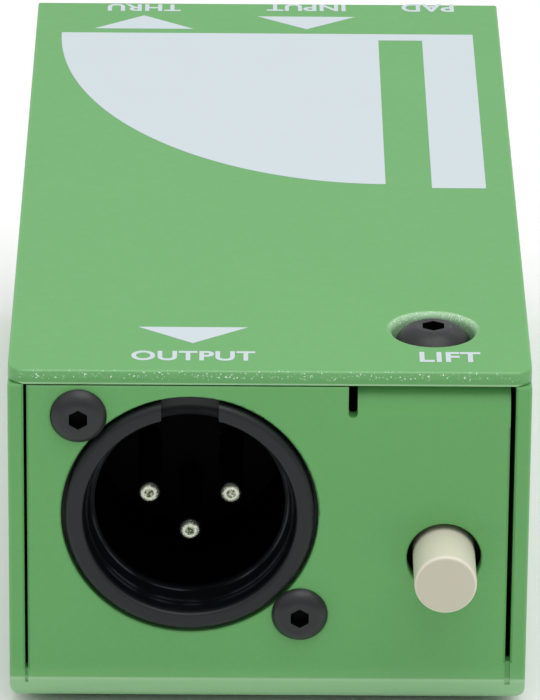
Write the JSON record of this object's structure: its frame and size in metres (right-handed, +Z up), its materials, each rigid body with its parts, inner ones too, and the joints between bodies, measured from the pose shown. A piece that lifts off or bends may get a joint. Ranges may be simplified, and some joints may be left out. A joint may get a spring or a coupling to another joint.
{
  "type": "direct injection box",
  "caption": "Small folded steel direct injection box with a flat screwed lid, a recessed male three pin socket and push button on the front, and two jacks and a push button on the rear.",
  "frame": {"origin": "centre of the footprint, on the surface the non-slip pad rests on", "axes": "+X right seen from the socket end, +Y from the socket end to the jack end, +Z up through the lid"},
  "size_m": [0.05, 0.1138, 0.0367],
  "materials": {
    "green_coat": "fine textured powder coat, semi-gloss",
    "white_ink": "screen printed ink",
    "black_steel": "black oxide",
    "zinc_steel": "bright zinc",
    "pad_rubber": "matte, finely ribbed",
    "black_plastic": "moulded, satin",
    "silver_plate": "silver plated",
    "button_plastic": "moulded, satin gloss",
    "switch_plastic": "moulded",
    "white_plastic": "moulded",
    "spring_steel": "drawn wire",
    "nickel_plate": "nickel plated, turned",
    "circuit_board": "solder mask over glass laminate",
    "can_metal": "drawn, annealed",
    "core_iron": "stacked laminations",
    "copper_wire": "enamelled winding",
    "resistor_body": "lacquered",
    "capacitor_film": "moulded box"
  },
  "bodies": {
    "case": {"base_tray": "green_coat", "lid_plate": "green_coat", "lid_screw": "black_steel", "lid_weld_nut": "zinc_steel", "lid_rear_hook": "zinc_steel", "nonslip_pad": "pad_rubber", "xlr_shell": "black_plastic", "xlr_insert": "black_plastic", "xlr_pin_1": "silver_plate", "xlr_pin_2": "silver_plate", "xlr_pin_3": "silver_plate", "xlr_ground_contact": "zinc_steel", "xlr_screws": "black_steel", "main_board": "circuit_board", "board_standoffs": "zinc_steel", "board_screws": "zinc_steel", "transformer_can": "can_metal", "transformer_core": "core_iron", "transformer_bobbin": "white_plastic", "transformer_primary": "copper_wire", "transformer_secondary": "copper_wire", "transformer_pins": "silver_plate", "resistors": "resistor_body", "film_capacitor": "capacitor_film", "lift_switch_housing": "switch_plastic", "lift_switch_terminals": "silver_plate", "lift_button_spring": "spring_steel", "pad_switch_housing": "switch_plastic", "pad_switch_terminals": "silver_plate", "pad_button_spring": "spring_steel", "thru_jack_body": "black_plastic", "thru_jack_bushing": "nickel_plate", "thru_jack_washer": "nickel_plate", "thru_jack_nut": "nickel_plate", "thru_jack_tip_contact": "silver_plate", "thru_jack_sleeve_terminal": "silver_plate", "input_jack_body": "black_plastic", "input_jack_bushing": "nickel_plate", "input_jack_washer": "nickel_plate", "input_jack_nut": "nickel_plate", "input_jack_tip_contact": "silver_plate", "input_jack_sleeve_terminal": "silver_plate"},
    "lift_button": {"lift_button_cap": "button_plastic", "lift_button_plunger": "white_plastic", "lift_switch_wiper": "silver_plate"},
    "pad_button": {"pad_button_cap": "button_plastic", "pad_button_plunger": "white_plastic", "pad_switch_wiper": "silver_plate"}
  },
  "joints": [
    {"name": "lift_button_slide", "type": "slide", "parent": "case", "child": "lift_button", "axis": [0, 1, 0], "range_m": [0, 0.0025], "stiffness_N_per_m": 800, "deforming": ["lift_button_spring"]},
    {"name": "pad_button_slide", "type": "slide", "parent": "case", "child": "pad_button", "axis": [0, -1, 0], "range_m": [0, 0.0025], "stiffness_N_per_m": 800, "deforming": ["pad_button_spring"]}
  ]
}
